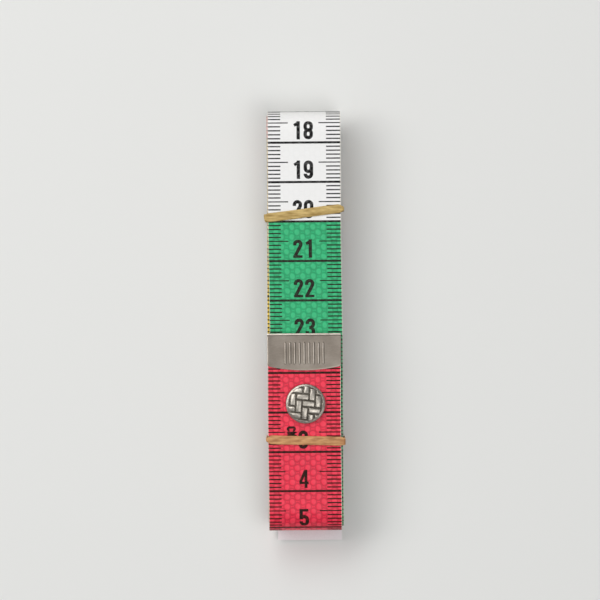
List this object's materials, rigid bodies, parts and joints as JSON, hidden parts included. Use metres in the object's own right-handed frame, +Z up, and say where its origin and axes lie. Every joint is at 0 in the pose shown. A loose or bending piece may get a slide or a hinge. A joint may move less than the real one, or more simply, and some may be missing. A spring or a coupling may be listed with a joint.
{
  "type": "cloth tape measure",
  "caption": "Coated cloth tape measure wound flat into a bundle, with a folded metal tip at each end, a snap fastener, two rubber bands and a card slip.",
  "frame": {"origin": "on the surface that the bundle lies on, under the middle of its overall box", "axes": "+X across the tape, +Y along the bundle towards its upper fold, +Z up from the surface, out of the printed front"},
  "size_m": [0.0214, 0.1095, 0.0189],
  "materials": {
    "coated_cloth": "PVC coating over woven glass fibre, printed and embossed, satin",
    "tip_metal": "nickel-plated strip steel, satin",
    "snap_metal": "nickel-plated brass, bright",
    "spring_wire": "bright spring wire",
    "yellow_rubber": "natural rubber, matt",
    "tan_rubber": "natural rubber, matt",
    "white_card": "uncoated white card"
  },
  "bodies": {
    "bundle": {"tape_winding": "coated_cloth", "inner_end_tip": "tip_metal", "snap_stud": "snap_metal", "stud_eyelet": "snap_metal", "card_slip": "white_card"},
    "free_end": {"tape_free_end": "coated_cloth", "zero_end_tip": "tip_metal", "snap_cap": "snap_metal", "cap_rivet": "snap_metal", "snap_socket": "snap_metal", "socket_spring": "spring_wire"},
    "upper_band": {"upper_rubber_band": "yellow_rubber"},
    "lower_band": {"lower_rubber_band": "tan_rubber"}
  },
  "joints": [
    {"name": "free_end_lift", "type": "hinge", "parent": "bundle", "child": "free_end", "pos_m": [0, -0.02627, 0.01694], "axis": [1, 0, 0], "range_deg": [0, 90]},
    {"name": "upper_band_slide", "type": "slide", "parent": "bundle", "child": "upper_band", "axis": [0, 1, 0], "range_m": [-0.012, 0.02]},
    {"name": "lower_band_slide", "type": "slide", "parent": "bundle", "child": "lower_band", "axis": [0, -1, 0], "range_m": [0, 0.02]}
  ]
}
